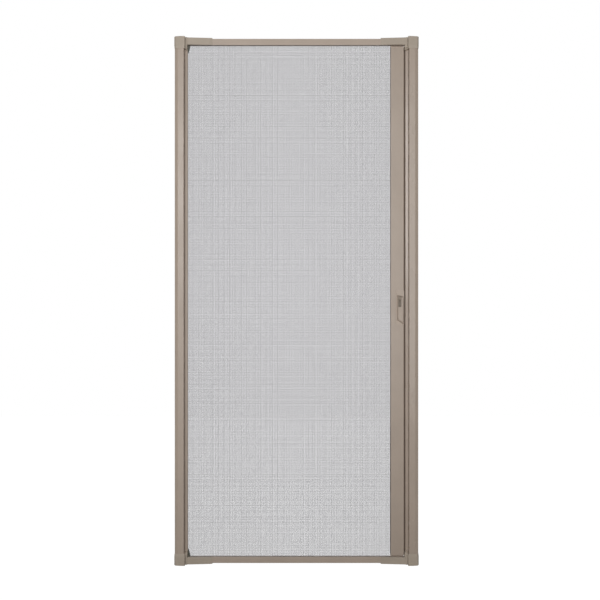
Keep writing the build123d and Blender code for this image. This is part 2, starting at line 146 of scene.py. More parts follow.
class ShaderTree:
    """A node tree with short calls that add nodes and join them."""

    def __init__(self, tree: bpy.types.NodeTree) -> None:
        """Wrap a node tree."""
        self.tree = tree

    def add(self, kind: str, feeds: dict | None = None, **settings: object) -> bpy.types.Node:
        """Add a node.

        Args:
            kind: The node's type.
            feeds: A constant, or the output that is joined, for each input by its name or place.
            settings: Properties of the node itself.

        Returns:
            The new node.
        """
        node = self.tree.nodes.new(kind)
        for name, value in settings.items():
            setattr(node, name, value)
        for name, value in (feeds or {}).items():
            if isinstance(value, bpy.types.NodeSocket):
                self.join(value, node, name)
            else:
                node.inputs[name].default_value = value
        return node

    def join(self, value: Socket, node: bpy.types.Node, name: str) -> None:
        """Join an output to a node's input."""
        self.tree.links.new(value, node.inputs[name])

    def effect(self, group: bpy.types.NodeTree, feeds: dict, output: str) -> Socket:
        """Place a shared effect.

        Args:
            group: The effect's node group.
            feeds: The effect's inputs.
            output: The output that is wanted.

        Returns:
            That output.
        """
        return self.add("ShaderNodeGroup", feeds, node_tree=group).outputs[output]

    def math(self, operation: str, *values: Socket) -> Socket:
        """Do arithmetic on one to three values.

        Args:
            operation: The Math node's operation.
            values: Constants or outputs.

        Returns:
            The result's output.
        """
        return self.add("ShaderNodeMath", dict(enumerate(values)), operation=operation).outputs[0]

    def mix(self, share: Socket, first: Socket, second: Socket, blend: str = "MIX") -> Socket:
        """Mix two colours.

        Args:
            share: How much of the second colour shows.
            first: The first colour.
            second: The second colour.
            blend: The way that the second colour is laid on.

        Returns:
            The mixed colour's output.
        """
        feeds = {0: share, 6: first, 7: second}
        return self.add("ShaderNodeMix", feeds, data_type="RGBA", blend_type=blend).outputs[2]

    def spread(self, value: Socket, low: float, high: float, out_low: Socket,
               out_high: Socket) -> Socket:
        """Stretch a value's range to another one, smoothly and with its ends held.

        Args:
            value: The value's output.
            low: The value that gives out_low.
            high: The value that gives out_high.
            out_low: The result at low.
            out_high: The result at high.

        Returns:
            The result's output.
        """
        feeds = {
            "Value": value, "From Min": low, "From Max": high,
            "To Min": out_low, "To Max": out_high,
        }
        node = self.add("ShaderNodeMapRange", feeds, interpolation_type="SMOOTHSTEP")
        return node.outputs["Result"]

    def noise(self, vector: Socket, scale: Socket, detail: float = 2.0,
              roughness: float = 0.5) -> Socket:
        """A noise value.

        Args:
            vector: Where the noise is read.
            scale: Waves per metre.
            detail: How many finer octaves are added.
            roughness: How strong the finer octaves are.

        Returns:
            The value's output.
        """
        feeds = {"Vector": vector, "Scale": scale, "Detail": detail, "Roughness": roughness}
        return self.add("ShaderNodeTexNoise", feeds).outputs["Fac"]

    def place(self, stretch: Triple = (1.0, 1.0, 1.0)) -> Socket:
        """Object coordinates, in metres, stretched along the axes.

        Args:
            stretch: The factor along each axis.

        Returns:
            The vector's output.
        """
        place = self.add("ShaderNodeTexCoord").outputs["Object"]
        return self.add("ShaderNodeMapping", {"Vector": place, "Scale": stretch}).outputs["Vector"]


class EffectGroup(ShaderTree):
    """A shader node group with named inputs and outputs."""

    SOCKETS = {
        "value": "NodeSocketFloat", "colour": "NodeSocketColor", "normal": "NodeSocketVector",
    }

    def __init__(self, name: str, takes: dict[str, str], gives: dict[str, str]) -> None:
        """Make an empty group.

        Args:
            name: The group's name.
            takes: The kind of each input, by name.
            gives: The kind of each output, by name.
        """
        super().__init__(bpy.data.node_groups.new(name, "ShaderNodeTree"))
        for way, sockets in (("INPUT", takes), ("OUTPUT", gives)):
            for socket, kind in sockets.items():
                self.tree.interface.new_socket(
                    name=socket, in_out=way, socket_type=self.SOCKETS[kind],
                )
        self.taken = self.add("NodeGroupInput").outputs
        self.given = self.add("NodeGroupOutput").inputs

    def give(self, name: str, value: Socket) -> None:
        """Join a value to one of the group's outputs."""
        self.tree.links.new(value, self.given[name])


class Effects:
    """The effects that several finishes share, each a node group built once."""

    MIDDLE_BAND: Band = (0.3, 0.7)
    BEVEL_SAMPLES = 6
    SLOW_SCALE = 14.0
    FINE_SCALE = 900.0
    LINE_SCALE = 1800.0
    LINE_RUN = 4.0
    EDGE_BAND: Band = (0.80, 0.99)
    PATCH_BAND: Band = (0.42, 0.66)
    DUST_SCALE = 55.0
    DUST_SLOPE: Band = (0.35, 1.0)
    DUST_BAND: Band = (0.35, 0.7)
    DUST_LEAST = 0.35
    WIPE_STRETCH: Triple = (1.0, 1.0, 0.35)

    def __init__(self) -> None:
        """Build every group."""
        self.mottle = self._mottle()
        self.relief = self._relief()
        self.edge_wear = self._edge_wear()
        self.dust = self._dust()
        self.handling = self._handling()

    def _mottle(self) -> bpy.types.NodeTree:
        """Build the slow and the fine change of colour over a surface.

        Returns:
            The node group.
        """
        group = EffectGroup(
            "mottle", {"Colour": "colour", "Slow": "value", "Fine": "value"}, {"Colour": "colour"},
        )
        taken = group.taken
        slow = group.noise(group.place(), self.SLOW_SCALE, detail=3.0)
        fine = group.noise(group.place(), self.FINE_SCALE, detail=2.0)
        slow_least = group.math("SUBTRACT", 1.0, taken["Slow"])
        fine_least = group.math("SUBTRACT", 1.0, taken["Fine"])
        slow_factor = group.spread(slow, *self.MIDDLE_BAND, slow_least, 1.0)
        fine_factor = group.spread(fine, *self.MIDDLE_BAND, fine_least, 1.0)
        factor = group.math("MULTIPLY", slow_factor, fine_factor)
        shade = group.add("ShaderNodeCombineColor", {0: factor, 1: factor, 2: factor}).outputs[0]
        group.give("Colour", group.mix(1.0, taken["Colour"], shade, "MULTIPLY"))
        return group.tree

    def _relief(self) -> bpy.types.NodeTree:
        """Build the rounded edges, the skin's grain and the drawn lines, as one normal.

        Returns:
            The node group.
        """
        group = EffectGroup(
            "relief",
            {"Edge Radius": "value", "Grain Scale": "value", "Grain Depth": "value",
             "Lines Across": "value", "Lines Up": "value"},
            {"Normal": "normal"},
        )
        taken = group.taken
        bevel = group.add(
            "ShaderNodeBevel", {"Radius": taken["Edge Radius"]}, samples=self.BEVEL_SAMPLES,
        )
        normal = bevel.outputs[0]
        run_across = group.place((self.LINE_RUN, self.LINE_SCALE, self.LINE_SCALE))
        run_up = group.place((self.LINE_SCALE, self.LINE_SCALE, self.LINE_RUN))
        grain = group.noise(group.place(), taken["Grain Scale"], detail=2.0, roughness=0.6)
        layers = (
            (grain, taken["Grain Depth"]),
            (group.noise(run_across, 1.0, detail=3.0), taken["Lines Across"]),
            (group.noise(run_up, 1.0, detail=3.0), taken["Lines Up"]),
        )
        for height, depth in layers:
            feeds = {"Height": height, "Distance": depth, "Strength": 1.0, "Normal": normal}
            normal = group.add("ShaderNodeBump", feeds).outputs["Normal"]
        group.give("Normal", normal)
        return group.tree

    def _edge_wear(self) -> bpy.types.NodeTree:
        """Build the mask of the edges that hands and fitting have rubbed.

        Returns:
            The node group.
        """
        group = EffectGroup(
            "edge_wear", {"Radius": "value", "Amount": "value", "Patch Scale": "value"},
            {"Mask": "value"},
        )
        taken = group.taken
        bevel = group.add(
            "ShaderNodeBevel", {"Radius": taken["Radius"]}, samples=self.BEVEL_SAMPLES,
        )
        true_normal = group.add("ShaderNodeNewGeometry").outputs["Normal"]
        feeds = {0: bevel.outputs[0], 1: true_normal}
        agree = group.add("ShaderNodeVectorMath", feeds, operation="DOT_PRODUCT").outputs["Value"]
        edge = group.spread(agree, *self.EDGE_BAND, 1.0, 0.0)
        patch = group.noise(group.place(), taken["Patch Scale"], detail=4.0, roughness=0.65)
        broken = group.spread(patch, *self.PATCH_BAND, 0.0, 1.0)
        worn = group.math("MULTIPLY", edge, broken)
        group.give("Mask", group.math("MULTIPLY", worn, taken["Amount"]))
        return group.tree

    def _dust(self) -> bpy.types.NodeTree:
        """Build the mask of the fine dust that settles on what faces up.

        Returns:
            The node group.
        """
        group = EffectGroup("dust", {"Amount": "value"}, {"Mask": "value"})
        normal = group.add("ShaderNodeNewGeometry").outputs["Normal"]
        up = group.add("ShaderNodeSeparateXYZ", {0: normal}).outputs["Z"]
        lying = group.spread(up, *self.DUST_SLOPE, 0.0, 1.0)
        noise = group.noise(group.place(), self.DUST_SCALE, detail=5.0, roughness=0.6)
        cloud = group.spread(noise, *self.DUST_BAND, self.DUST_LEAST, 1.0)
        settled = group.math("MULTIPLY", lying, cloud)
        group.give("Mask", group.math("MULTIPLY", settled, group.taken["Amount"]))
        return group.tree

    def _handling(self) -> bpy.types.NodeTree:
        """Build the uneven gloss of wiped and touched surfaces.

        Returns:
            The node group.
        """
        group = EffectGroup(
            "handling", {"Roughness": "value", "Change": "value", "Scale": "value"},
            {"Roughness": "value"},
        )
        taken = group.taken
        wiped = group.noise(
            group.place(self.WIPE_STRETCH), taken["Scale"], detail=4.0, roughness=0.6,
        )
        low = group.math("SUBTRACT", taken["Roughness"], taken["Change"])
        high = group.math("ADD", taken["Roughness"], taken["Change"])
        group.give("Roughness", group.spread(wiped, *self.MIDDLE_BAND, low, high))
        return group.tree


def new_material(name: str) -> tuple[bpy.types.Material, ShaderTree, bpy.types.Node]:
    """Make a material.

    Args:
        name: The material's name.

    Returns:
        The material, its tree and its Principled shader.
    """
    material = bpy.data.materials.new(name)
    material.use_nodes = True
    return material, ShaderTree(material.node_tree), material.node_tree.nodes["Principled BSDF"]


@dataclass(frozen=True)
class HardFinish:
    """A paint, plastic or metal finish on a rigid piece.

    The shared effects are placed with this finish's own values.
    """

    WEAR_REACH = 3
    PATCH_SCALE = 60.0
    WIPE_SCALE = 16.0
    DUST_DULLS = 0.35

    name: str
    colour: Colour
    roughness: float
    worn_colour: Colour
    metallic: float = 0.0
    coat: float = 0.0
    coat_roughness: float = 0.25
    specular: float = 0.5
    slow_change: float = 0.05
    fine_change: float = 0.05
    gloss_change: float = 0.05
    edge_radius: float = 0.4 * MM
    grain_scale: float = 700.0
    grain_depth: float = 0.02 * MM
    lines: Axis | None = None
    line_depth: float = 0.012 * MM
    wear: float = 0.5
    dust: float = 0.25
    dust_colour: Colour = srgb(214, 208, 198)

    def build(self, effects: Effects) -> bpy.types.Material:
        """Build the material.

        Args:
            effects: The shared node groups.

        Returns:
            The material.
        """
        material, tree, shader = new_material(self.name)
        across = self.line_depth if self.lines is Axis.ACROSS else 0.0
        up = self.line_depth if self.lines is Axis.UP else 0.0
        base = tree.effect(effects.mottle, {
            "Colour": (*self.colour, 1.0), "Slow": self.slow_change, "Fine": self.fine_change,
        }, "Colour")
        wear = tree.effect(effects.edge_wear, {
            "Radius": self.WEAR_REACH * self.edge_radius, "Amount": self.wear,
            "Patch Scale": self.PATCH_SCALE,
        }, "Mask")
        dust = tree.effect(effects.dust, {"Amount": self.dust}, "Mask")
        gloss = tree.effect(effects.handling, {
            "Roughness": self.roughness, "Change": self.gloss_change, "Scale": self.WIPE_SCALE,
        }, "Roughness")
        normal = tree.effect(effects.relief, {
            "Edge Radius": self.edge_radius, "Grain Scale": self.grain_scale,
            "Grain Depth": self.grain_depth, "Lines Across": across, "Lines Up": up,
        }, "Normal")
        worn = tree.mix(wear, base, (*self.worn_colour, 1.0))
        dusty = tree.mix(dust, worn, (*self.dust_colour, 1.0))
        dull = tree.math("MULTIPLY_ADD", dust, self.DUST_DULLS, gloss)
        tree.join(dusty, shader, "Base Color")
        tree.join(dull, shader, "Roughness")
        tree.join(normal, shader, "Normal")
        shader.inputs["Metallic"].default_value = self.metallic
        shader.inputs["Coat Weight"].default_value = self.coat
        shader.inputs["Coat Roughness"].default_value = self.coat_roughness
        shader.inputs["Specular IOR Level"].default_value = self.specular
        return material


@dataclass(frozen=True)
class YarnFinish:
    """Vinyl-coated glass yarn, each yarn lighter or darker by its own tone."""

    TWIST_SCALE = 3500.0
    TWIST_DEPTH = 0.03 * MM

    name: str
    dark: Colour
    light: Colour
    roughness: float
    attribute: str

    def build(self, effects: Effects) -> bpy.types.Material:
        """Build the material.

        Args:
            effects: The shared node groups, of which yarn needs none.

        Returns:
            The material.
        """
        material, tree, shader = new_material(self.name)
        tone = tree.add("ShaderNodeAttribute", attribute_name=self.attribute).outputs["Fac"]
        twist = tree.noise(tree.place(), self.TWIST_SCALE, detail=1.0)
        relief = tree.add("ShaderNodeBump", {"Height": twist, "Distance": self.TWIST_DEPTH})
        tree.join(tree.mix(tone, (*self.dark, 1.0), (*self.light, 1.0)), shader, "Base Color")
        tree.join(relief.outputs["Normal"], shader, "Normal")
        shader.inputs["Roughness"].default_value = self.roughness
        return material


# Colours of the finishes
SANDSTONE = srgb(193, 176, 160)
SANDSTONE_DEEP = srgb(189, 172, 156)
SANDSTONE_WORN = srgb(196, 184, 172)
CAP_COLOUR = srgb(190, 176, 159)

FINISHES = {
    "frame_paint": HardFinish(
        "sandstone_powder_coat", SANDSTONE_DEEP, 0.36, SANDSTONE_WORN, coat=0.1, lines=Axis.UP,
    ),
    "jamb_paint": HardFinish(
        "sandstone_jamb_coat", SANDSTONE_DEEP, 0.26, SANDSTONE_WORN, coat=0.4, coat_roughness=0.22,
        lines=Axis.UP,
    ),
    "track_paint": HardFinish(
        "sandstone_track_coat", SANDSTONE, 0.42, SANDSTONE_WORN, coat=0.15, lines=Axis.ACROSS,
    ),
    "bar_paint": HardFinish(
        "sandstone_bar_coat", SANDSTONE_DEEP, 0.40, SANDSTONE_WORN, coat=0.2, coat_roughness=0.2,
        lines=Axis.UP, wear=0.6,
    ),
    "rail_paint": HardFinish(
        "sandstone_rail_coat", SANDSTONE, 0.50, SANDSTONE_WORN, lines=Axis.UP, dust=0.35,
    ),
    "cap_plastic": HardFinish(
        "moulded_cap_nylon", CAP_COLOUR, 0.50, srgb(190, 178, 166), grain_scale=1600.0,
        grain_depth=0.03 * MM, slow_change=0.07, wear=0.35,
    ),
    "handle_plastic": HardFinish(
        "moulded_handle_nylon", SANDSTONE, 0.42, srgb(194, 182, 170), grain_scale=1500.0,
        grain_depth=0.02 * MM, gloss_change=0.10, wear=0.7,
    ),
    "latch_plastic": HardFinish(
        "dark_latch_nylon", srgb(136, 124, 110), 0.45, srgb(150, 138, 124), grain_scale=1500.0,
        wear=0.8,
    ),
    # Liner nylon for the slide's slot, darker than the handle: painted shade for the recess round
    # the thumb latch.
    "slot_shade_plastic": HardFinish(
        "slot_painted_shade_nylon", srgb(168, 152, 136), 0.55, srgb(130, 118, 104), grain_scale=1500.0,
        wear=0.2,
    ),
    "guide_plastic": HardFinish(
        "dark_guide_acetal", srgb(104, 104, 93), 0.45, srgb(112, 112, 104), grain_scale=1200.0,
    ),
    # Shoe nylon, beige like the caps but lighter than them: painted light that lifts the shadow
    # under the cap arms.
    "shoe_plastic": HardFinish(
        "shoe_nylon_painted_light", srgb(206, 188, 172), 0.50, srgb(190, 178, 166), grain_scale=1600.0,
    ),
    "plug_plastic": HardFinish(
        "grey_plug_nylon", srgb(92, 94, 96), 0.5, srgb(120, 122, 124), grain_scale=1200.0,
    ),
    "magnet": HardFinish(
        "flexible_magnet_rubber", srgb(112, 96, 84), 0.62, srgb(130, 116, 104),
        grain_scale=2200.0,
        grain_depth=0.03 * MM, lines=Axis.UP,
    ),
    "spline": HardFinish(
        "ribbed_vinyl_cord", srgb(70, 70, 70), 0.55, srgb(90, 90, 90), grain_scale=900.0,
    ),
    "roller_metal": HardFinish(
        "mill_aluminium", srgb(196, 198, 200), 0.34, srgb(220, 222, 224), metallic=1.0,
        lines=Axis.UP, fine_change=0.1,
    ),
    "pile": HardFinish(
        "grey_brush_fibre", srgb(92, 90, 88), 0.85, srgb(110, 108, 106), grain_scale=4000.0,
        wear=0.0,
    ),
    "screw_metal": HardFinish(
        "zinc_screw", srgb(176, 178, 180), 0.32, srgb(205, 206, 208), metallic=1.0,
        grain_scale=2600.0,
    ),
    "roll_cloth": HardFinish(
        "wound_screen_cloth", srgb(78, 77, 84), 0.7, srgb(90, 89, 96), grain_scale=650.0,
        grain_depth=0.15 * MM, wear=0.0,
    ),
    "screen_cloth": YarnFinish(
        "vinyl_coated_yarn", srgb(33, 30, 40), srgb(129, 120, 143), 0.5, "yarn_tone",
    ),
}


class Wardrobe:
    """Builds each finish once and hands it out by name."""

    def __init__(self) -> None:
        """Build the shared effects."""
        self.effects = Effects()
        self.built: dict[str, bpy.types.Material] = {}

    def finish(self, name: str) -> bpy.types.Material:
        """Hand out a finish, built the first time it is asked for.

        Args:
            name: The finish.

        Returns:
            Its material.
        """
        if name not in self.built:
            self.built[name] = FINISHES[name].build(self.effects)
        return self.built[name]

    def dress(self, node: bpy.types.Object, name: str) -> None:
        """Give a finish to all the material slots of a CAD node.

        Args:
            node: The CAD node's object.
            name: The finish.
        """
        for slot in node.material_slots:
            slot.material = self.finish(name)
        LOG.info("dressed %s with %s", node.name, name)


class Workshop:
    """Turns finished bmeshes into pieces that ride on the frame."""

    def __init__(self, frame: dict, wardrobe: Wardrobe) -> None:
        """Keep the frame and the finishes at hand."""
        self.frame = frame
        self.wardrobe = wardrobe

    def piece(self, name: str, mesh: bmesh.types.BMesh, finish: str, body: Body, slot: str,
              replaces: tuple[str, ...] = ()) -> bpy.types.Object:
        """Make a piece out of a finished bmesh.

        Args:
            name: The piece's name.
            mesh: The bmesh, which is used up.
            finish: The name of its finish.
            body: The body it rides on.
            slot: The record's material slot; not used.
            replaces: The CAD nodes that it stands for.

        Returns:
            The piece.
        """
        data = bpy.data.meshes.new(name)
        mesh.to_mesh(data)
        mesh.free()
        piece = bpy.data.objects.new(name, data)
        bpy.context.scene.collection.objects.link(piece)
        data.materials.append(self.wardrobe.finish(finish))
        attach(piece, body.value)
        if replaces:
            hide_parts(*replaces)
        LOG.info("built %s: %d faces", name, len(data.polygons))
        return piece


class Row:
    """Copies of one small shape in a bmesh, numbered in the order that they are laid."""

    def __init__(self, mesh: bmesh.types.BMesh) -> None:
        """Start a row, its numbers after those of the rows that are there.

        Args:
            mesh: The bmesh that holds the copies.
        """
        self.mesh = mesh
        layers = mesh.verts.layers.int
        self.number = layers.get("number") or layers.new("number")
        self.first = 1 + max((vert[self.number] for vert in mesh.verts), default=-1)
        self.count = 0

    def hold(self, shape: list[bmesh.types.BMVert]) -> None:
        """Take the shape that is to be repeated.

        Args:
            shape: The shape's vertices.
        """
        for vert in shape:
            vert[self.number] = self.first
        self.count = 1

    def below(self, elements: bmesh.types.BMEdgeSeq | bmesh.types.BMFaceSeq, limit: int) -> list:
        """The edges or faces whose first vertex is one of this row's, numbered below a limit."""
        return [each for each in elements if self.first <= each.verts[0][self.number] < limit]

    def repeat(self, count: int, step: Vector) -> None:
        """Repeat all that the row holds, doubling it at each turn.

        Args:
            count: How many there are in the end.
            step: From each one to the next.
        """
        made = 1
        while made < count:
            more = min(made, count - made)
            limit = self.first + more * self.count
            verts = [vert for vert in self.mesh.verts if self.first <= vert[self.number] < limit]
            taken = verts + self.below(self.mesh.edges, limit) + self.below(self.mesh.faces, limit)
            copied = bmesh.ops.duplicate(self.mesh, geom=taken)["geom"]
            verts = [item for item in copied if isinstance(item, bmesh.types.BMVert)]
            for vert in verts:
                vert[self.number] += made * self.count
            bmesh.ops.translate(self.mesh, vec=step * made, verts=verts)
            made += more
        self.count *= count

    def groups(self) -> list[list[bmesh.types.BMVert]]:
        """Sort the row's vertices by their copies.

        Returns:
            One list of vertices for each copy, in the order that they were laid.
        """
        groups = [[] for _ in range(self.count)]
        for vert in self.mesh.verts:
            if vert[self.number] >= self.first:
                groups[vert[self.number] - self.first].append(vert)
        return groups


def rod(mesh: bmesh.types.BMesh, middle: Vector, way: Vector, radii: tuple[float, float],
        sides: int) -> list[bmesh.types.BMVert]:
    """Add a straight rod or a tapered tuft.

    Args:
        mesh: The bmesh that it is added to.
        middle: Its middle.
        way: From its foot to its tip.
        radii: Its radius at its foot and at its tip.
        sides: How many sides it has.

    Returns:
        Its vertices.
    """
    turn = way.to_track_quat("Z", "Y").to_matrix().to_4x4()
    made = bmesh.ops.create_cone(
        mesh, cap_ends=True, segments=sides, radius1=radii[0], radius2=radii[1], depth=way.length,
        matrix=Matrix.Translation(middle) @ turn,
    )
    return made["verts"]


def brick(mesh: bmesh.types.BMesh, low: Vector, high: Vector) -> list[bmesh.types.BMEdge]:
    """Add a plain block between two corners.

    Args:
        mesh: The bmesh that it is added to.
        low: Its lowest corner.
        high: Its highest corner.

    Returns:
        Its edges.
    """
    scale = Matrix.Diagonal((*(high - low), 1))
    made = bmesh.ops.create_cube(mesh, size=1, matrix=Matrix.Translation((low + high) / 2) @ scale)
    return list(dict.fromkeys(edge for vert in made["verts"] for edge in vert.link_edges))


def screen_plane() -> float:
    """Where the screen hangs along Y, at the middle of the cord that holds it in the slide bar."""
    low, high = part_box("mesh_spline")
    return (low.y + high.y) / 2


@dataclass
class InsectScreen:
    """The woven screen, every yarn a rod of its own, from the housing's slot to the slide bar."""

    pitch_across: float = 1.27 * MM
    pitch_up: float = 1.41 * MM
    yarn: float = 0.40 * MM
    lay: float = 0.1 * MM
    sides: int = 6
    waves: tuple[tuple[float, float, float], ...] = (
        (23.6 * MM, 0.20 * MM, 0.09), (20.7 * MM, 0.10 * MM, 0.04),
        (11.1 * MM, 0.14 * MM, 0.20), (9.3 * MM, 0.14 * MM, 0.20),
    )
    mean_tone: float = 0.5
    slot_reach: float = 0.4259
    seed: int = 5

    def drift(self, even: float, phases: list[float]) -> tuple[float, float]:
        """How a yarn lies and shines, in a sum of slow waves.

        Args:
            even: Its even place.
            phases: The phase of each wave.

        Returns:
            How far it lies from its even place, and its tone from 0, dark, to 1, light.
        """
        shift, tone = 0.0, self.mean_tone
        for (length, reach, shade), phase in zip(self.waves, phases):
            turn = 2 * math.pi * even / length + phase
            shift += reach * math.sin(turn)
            tone += shade * math.cos(turn)
        return shift, min(max(tone, 0.0), 1.0)

    def lay_yarns(self, mesh: bmesh.types.BMesh, first: Vector, way: Vector, step: Vector,
                  count: int, source: random.Random) -> list[float]:
        """Lay the yarns that run one way.

        Args:
            mesh: The bmesh that they are added to.
            first: The middle of the first yarn.
            way: From its one end to its other.
            step: From each yarn's even place to the next.
            count: How many yarns there are.
            source: The source of the drift's phases.

        Returns:
            The tone of each yarn.
        """
        row = Row(mesh)
        row.hold(rod(mesh, first, way, (self.yarn / 2, self.yarn / 2), self.sides))
        row.repeat(count, step)
        phases = [source.uniform(0, 2 * math.pi) for _ in self.waves]
        tones = []
        for index, yarn in enumerate(row.groups()):
            shift, tone = self.drift(index * step.length, phases)
            tones.append(tone)
            for vert in yarn:
                vert.co += step.normalized() * shift
        return tones

    def build(self, shop: Workshop) -> bpy.types.Object:
        """Build the drawn-out screen, which hangs on the frame.

        Args:
            shop: The workshop.

        Returns:
            The piece.
        """
        low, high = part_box("screen_mesh")
        plane = screen_plane()
        slot_x = -self.slot_reach
        width, height = high.x - slot_x, high.z - low.z
        middle = Vector(((slot_x + high.x) / 2, plane, (low.z + high.z) / 2))
        source = random.Random(self.seed)
        mesh = bmesh.new()
        tones = self.lay_yarns(
            mesh, Vector((slot_x + self.pitch_across / 2, plane - self.lay, middle.z)),
            Vector((0, 0, height)), Vector((self.pitch_across, 0, 0)),
            int(width / self.pitch_across), source,
        )
        tones += self.lay_yarns(
            mesh, Vector((middle.x, plane + self.lay, low.z + self.pitch_up / 2)),
            Vector((width, 0, 0)), Vector((0, 0, self.pitch_up)),
            int(height / self.pitch_up), source,
        )
        number = mesh.verts.layers.int["number"]
        tone = mesh.faces.layers.float.new("yarn_tone")
        for face in mesh.faces:
            face[tone] = tones[face.verts[0][number]]
            face.smooth = len(face.verts) == 4
        piece = shop.piece(
            "insect_screen", mesh, "screen_cloth", Body.FRAME, "screen_cloth", ("screen_mesh",),
        )
        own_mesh(piece)
        return piece


@dataclass
class ScreenRoll:
    """The turns of screen left on the roller, and the run from it to the housing's slot."""

    thickness: float = 0.3 * MM
    turns: int = 2
    facets: int = 48
    clear: float = 0.15 * MM

    def build(self, shop: Workshop, slot_x: float) -> bpy.types.Object:
        """Build the roll.

        Args:
            shop: The workshop.
            slot_x: Where the run meets the drawn-out screen.

        Returns:
            The piece.
        """
        low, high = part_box("screen_mesh")
        tube_low, tube_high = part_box("roller_tube")
        centre = (tube_low + tube_high) / 2
        radius = (tube_high.x - tube_low.x) / 2 + self.clear
        plane = screen_plane()
        mesh = bmesh.new()
        for turn in range(self.turns):
            inner = radius + turn * (self.thickness + self.clear)
            self.sleeve(mesh, centre, inner, low.z, high.z)
        half = self.thickness / 2
        brick(mesh, Vector((centre.x, plane - half, low.z)),
              Vector((slot_x, plane + half, high.z)))
        piece = shop.piece(
            "screen_roll", mesh, "roll_cloth", Body.FRAME, "screen_cloth", ("screen_mesh",),
        )
        return piece

    def sleeve(self, mesh: bmesh.types.BMesh, centre: Vector, inner: float, low: float,
               high: float) -> None:
        """Add one closed turn of cloth.

        Args:
            mesh: The bmesh that it is added to.
            centre: The roller's middle.
            inner: The turn's inner radius.
            low: Its lower end.
            high: Its upper end.
        """
        face_size = Matrix.Diagonal((self.thickness, high - low, 1, 1))
        place = Vector((centre.x + inner + self.thickness / 2, centre.y, (low + high) / 2))
        upright = Matrix.Rotation(math.pi / 2, 4, "X")
        made = bmesh.ops.create_grid(
            mesh, x_segments=1, y_segments=1, size=0.5,
            matrix=Matrix.Translation(place) @ upright @ face_size,
        )
        outline = list(dict.fromkeys(edge for vert in made["verts"] for edge in vert.link_edges))
        faces = list(dict.fromkeys(face for vert in made["verts"] for face in vert.link_faces))
        bmesh.ops.delete(mesh, geom=faces, context="FACES_ONLY")
        bmesh.ops.spin(
            mesh, geom=outline, cent=Vector((centre.x, centre.y, 0)), axis=(0, 0, 1),
            angle=2 * math.pi, steps=self.facets, use_merge=True,
        )
        bmesh.ops.recalc_face_normals(mesh, faces=mesh.faces)


@dataclass
class BrushSeal:
    """A brush of short tufts on a backing strip, in the place of a plain pile node."""

    backing: float = 0.7 * MM
    backing_bevel: float = 0.25
    tuft_pitch: float = 1.15 * MM
    tuft_radius: float = 0.62 * MM
    tuft_sides: int = 4
    rows: int = 4
    row_share: float = 0.68
    lean: float = 0.25 * MM
    short: float = 0.07
    seed: int = 3

    def build(self, shop: Workshop, node: str, foot_inset: float = 0.0) -> bpy.types.Object:
        """Build one brush, its tufts pointing at the screen.

        Args:
            shop: The workshop.
            node: The pile node that it replaces.
            foot_inset: How far the backing lies inside the node's box.

        Returns:
            The piece.
        """
        low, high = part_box(node)
        plane = screen_plane()
        inwards = 1 if high.y < plane else -1
        foot = (low.y if inwards > 0 else high.y) + inwards * foot_inset
        tip = high.y if inwards > 0 else low.y
        along = 2 if high.z - low.z > high.x - low.x else 0
        across = 2 - along
        mesh = bmesh.new()
        row = Row(mesh)
        width = high[across] - low[across]
        first = low.copy()
        first[across] += width * (1 - self.row_share) / 2
        first[along] += self.tuft_pitch / 2
        root = foot + inwards * self.backing / 2
        first.y = (root + tip) / 2
        way = Vector((0, tip - root, 0))
        row.hold(rod(mesh, first, way, (self.tuft_radius, 0.0), self.tuft_sides))
        step = Vector((0, 0, 0))
        step[across] = width * self.row_share / (self.rows - 1)
        row.repeat(self.rows, step)
        step = Vector((0, 0, 0))
        step[along] = self.tuft_pitch
        row.repeat(int((high[along] - low[along]) / self.tuft_pitch), step)
        source = random.Random(self.seed)
        for tuft in row.groups():
            self.ruffle(tuft, root, tip, source)
        strip_low, strip_high = low.copy(), high.copy()
        strip_low.y, strip_high.y = sorted((foot, foot + inwards * self.backing))
        strip = brick(mesh, strip_low, strip_high)
        bmesh.ops.bevel(
            mesh, geom=strip, offset=self.backing * self.backing_bevel, affect="EDGES",
            segments=1, profile=0.5, material=-1,
        )
        return shop.piece(node.replace("pile", "brush"), mesh, "pile", Body.FRAME, "pile", (node,))

    def ruffle(self, tuft: list[bmesh.types.BMVert], root: float, tip: float,
               source: random.Random) -> None:
        """Lean one tuft a little and cut it a little shorter.

        Args:
            tuft: The tuft's vertices.
            root: The place of its foot along Y.
            tip: The place of its tip along Y.
            source: The source of its lean and its length.
        """
        lean = Vector((
            source.uniform(-self.lean, self.lean), 0, source.uniform(-self.lean, self.lean),
        ))
        length = 1 - source.uniform(0, self.short)
        for vert in tuft:
            share = (vert.co.y - root) / (tip - root)
            vert.co += lean * share
            vert.co.y = root + (vert.co.y - root) * length


